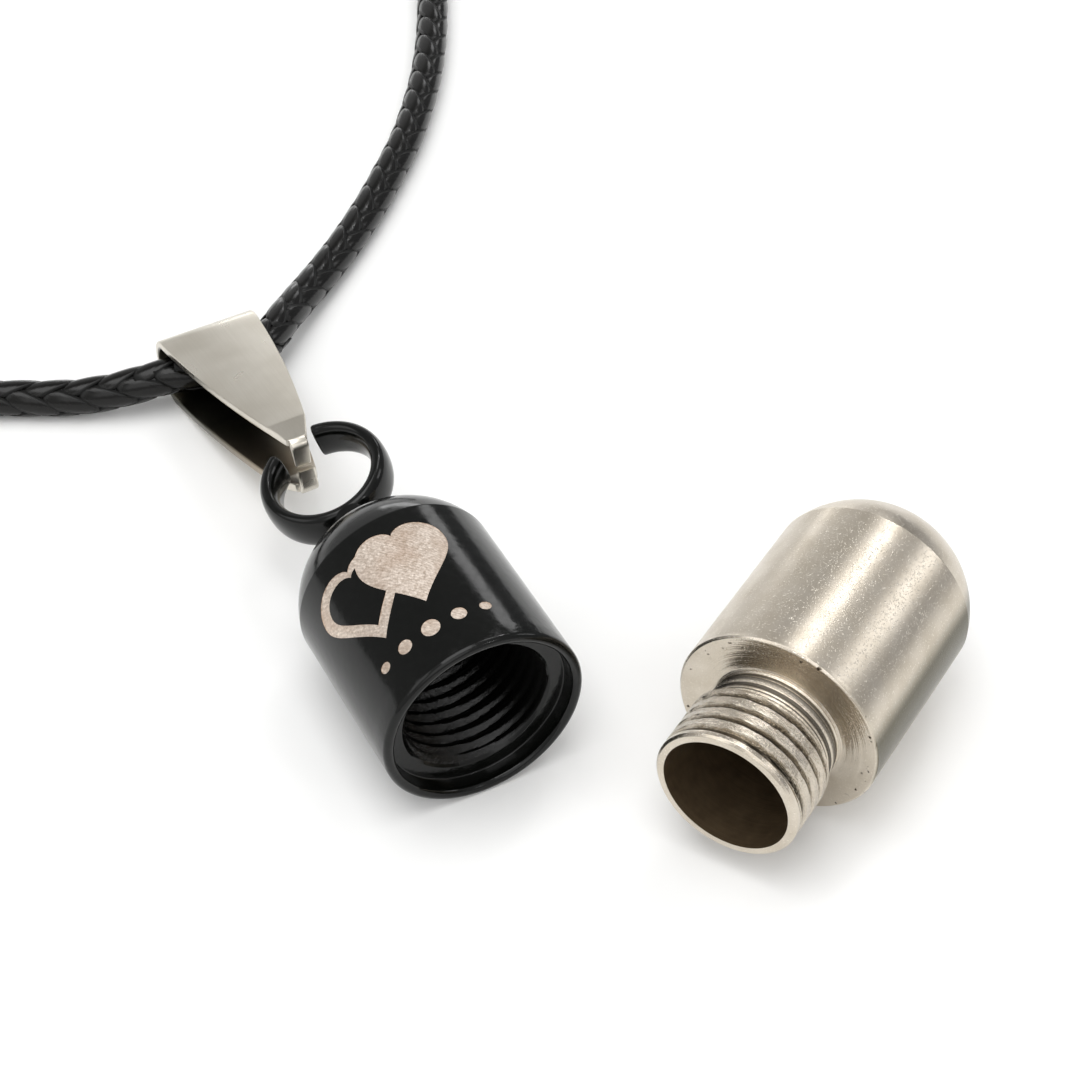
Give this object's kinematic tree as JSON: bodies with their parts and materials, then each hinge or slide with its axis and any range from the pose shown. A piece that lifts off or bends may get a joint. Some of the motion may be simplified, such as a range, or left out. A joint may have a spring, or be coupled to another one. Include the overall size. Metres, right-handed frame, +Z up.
{
  "type": "keepsake urn pendant",
  "caption": "Screw-open keepsake urn pendant: black cap with eye ring and folded bail on a braided cord loop, its threaded metal vial unscrewed and lying beside it.",
  "frame": {"origin": "on the surface, under the centre of the box round cap, bail and vial", "axes": "+Z up; +Y along the cap's axis, from its mouth to its eye ring; +X from the cap to the vial"},
  "size_m": [0.1402, 0.2025, 0.01],
  "materials": {
    "black_enamel": "gloss",
    "satin_steel": "satin",
    "waxed_cord": "waxed",
    "clasp_steel": "satin",
    "satin_nickel": "satin"
  },
  "bodies": {
    "pendant": {"cap": "black_enamel", "bail": "satin_steel", "cord": "waxed_cord", "clasp": "clasp_steel"},
    "vial": {"vial": "satin_nickel"}
  },
  "joints": [
    {"name": "vial_lift", "type": "slide", "parent": "pendant", "child": "vial", "axis": [0, 0, 1], "range_m": [0, 0.025]}
  ]
}
